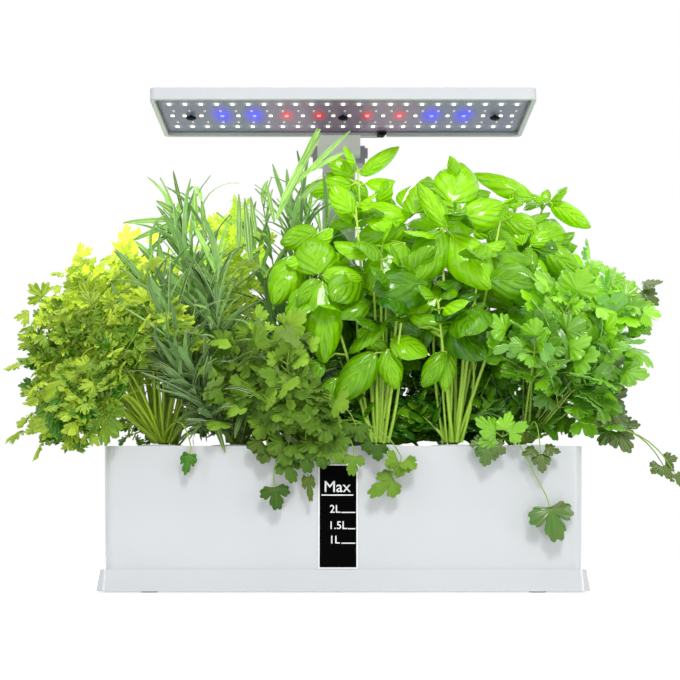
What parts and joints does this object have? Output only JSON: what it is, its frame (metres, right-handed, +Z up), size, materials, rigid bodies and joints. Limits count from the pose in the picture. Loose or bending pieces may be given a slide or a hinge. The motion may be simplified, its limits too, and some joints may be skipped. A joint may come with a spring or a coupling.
{
  "type": "countertop hydroponic garden",
  "caption": "Countertop hydroponic herb garden: white water tank with a level window, pods of herbs, and a tilting LED grow lamp on a telescopic mast.",
  "frame": {"origin": "the middle of the base plinth, at the level of the table that the feet stand on", "axes": "+X to the right as seen from the front, +Y from the window side to the mast at the back, +Z up"},
  "size_m": [0.5395, 0.1948, 0.3945],
  "materials": {
    "white_shell": "gloss",
    "foot_rubber": "matte",
    "screw_steel": "satin",
    "seal_rubber": "matte",
    "window_black": "gloss",
    "bezel_white": "gloss",
    "deck_white": "satin",
    "flap_white": "satin",
    "pin_steel": "satin",
    "basket_white": "satin",
    "sponge_brown": "matte",
    "cap_white": "satin",
    "socket_white": "satin",
    "box_white": "gloss",
    "board_green": "satin",
    "button_grey": "satin",
    "spring_steel": "satin",
    "light_green": "gloss",
    "jack_black": "satin",
    "mast_outer_grey": "satin",
    "bush_grey": "satin",
    "mast_inner_grey": "satin",
    "glide_grey": "satin",
    "yoke_grey": "satin",
    "hinge_steel": "satin",
    "nut_steel": "satin",
    "block_grey": "satin",
    "lamp_white": "gloss",
    "board_white": "satin",
    "led_white": "gloss",
    "led_blue": "gloss",
    "led_red": "gloss",
    "cover_clear": "gloss",
    "screw_black": "satin",
    "grommet_black": "satin",
    "lead_black": "satin",
    "pump_dark": "satin",
    "pump_cover_grey": "satin",
    "impeller_blue": "gloss",
    "shaft_ceramic": "polished",
    "filter_foam": "matte",
    "pump_foot_rubber": "matte",
    "pipe_grey": "satin",
    "pump_lead_black": "satin",
    "parsley_left_front_leaf": "satin",
    "parsley_left_rear_leaf": "satin",
    "tarragon_left_leaf": "satin",
    "parsley_inner_leaf": "satin",
    "coriander_trailing_leaf": "satin",
    "tarragon_right_leaf": "satin",
    "basil_front_leaf": "gloss",
    "basil_rear_leaf": "gloss",
    "basil_tall_leaf": "gloss",
    "basil_right_leaf": "gloss",
    "coriander_front_leaf": "satin",
    "coriander_rear_leaf": "satin"
  },
  "bodies": {
    "base": {"base_plinth": "white_shell", "base_feet": "foot_rubber", "base_screws": "screw_steel", "tank": "white_shell", "window_seal": "seal_rubber", "water_window": "window_black", "window_bezel": "bezel_white", "deck": "deck_white", "flap_pin": "pin_steel", "pod_baskets": "basket_white", "end_basket_front": "basket_white", "end_basket_rear": "basket_white", "pod_sponges": "sponge_brown", "pod_caps": "cap_white", "mast_socket": "socket_white", "control_box": "box_white", "control_board": "board_green", "button_spring": "spring_steel", "status_light": "light_green", "power_jack": "jack_black", "mast_outer": "mast_outer_grey", "mast_bush": "bush_grey", "pump_body": "pump_dark", "pump_cover": "pump_cover_grey", "pump_shaft": "shaft_ceramic", "pump_filter": "filter_foam", "pump_feet": "pump_foot_rubber", "outlet_pipe": "pipe_grey", "pump_lead": "pump_lead_black", "parsley_left_front": "parsley_left_front_leaf", "parsley_left_rear": "parsley_left_rear_leaf", "tarragon_left": "tarragon_left_leaf", "parsley_inner": "parsley_inner_leaf", "coriander_trailing": "coriander_trailing_leaf", "tarragon_right": "tarragon_right_leaf", "basil_front": "basil_front_leaf", "basil_rear": "basil_rear_leaf", "basil_tall": "basil_tall_leaf", "basil_right": "basil_right_leaf", "coriander_front": "coriander_front_leaf", "coriander_rear": "coriander_rear_leaf"},
    "mast": {"mast_inner": "mast_inner_grey", "mast_glide": "glide_grey", "yoke": "yoke_grey", "hinge_pin": "hinge_steel", "hinge_nut": "nut_steel"},
    "lamp": {"hinge_block": "block_grey", "lamp_housing": "lamp_white", "led_board": "board_white", "white_leds": "led_white", "blue_leds": "led_blue", "red_leds": "led_red", "lamp_cover": "cover_clear", "lamp_screws": "screw_black", "cable_grommet": "grommet_black", "lamp_lead": "lead_black"},
    "flap": {"filler_flap": "flap_white"},
    "button": {"power_button": "button_grey"},
    "rotor": {"impeller": "impeller_blue"}
  },
  "joints": [
    {"name": "mast_slide", "type": "slide", "parent": "base", "child": "mast", "axis": [0, 0, 1], "range_m": [-0.015, 0.07]},
    {"name": "lamp_tilt", "type": "hinge", "parent": "mast", "child": "lamp", "pos_m": [-0.0035, 0.0535, 0.371], "axis": [-1, 0, 0], "range_deg": [0, 90]},
    {"name": "flap_hinge", "type": "hinge", "parent": "base", "child": "flap", "pos_m": [0.116, 0.0615, 0.11], "axis": [-1, 0, 0], "range_deg": [0, 100]},
    {"name": "button_press", "type": "slide", "parent": "base", "child": "button", "axis": [0, 0, -1], "range_m": [0, 0.0012], "stiffness_N_per_m": 800, "springref_m": -0.001, "deforming": ["button_spring"]},
    {"name": "impeller_spin", "type": "hinge", "parent": "base", "child": "rotor", "pos_m": [0.092, 0.018, 0.0365], "axis": [0, 1, 0], "continuous": true}
  ]
}
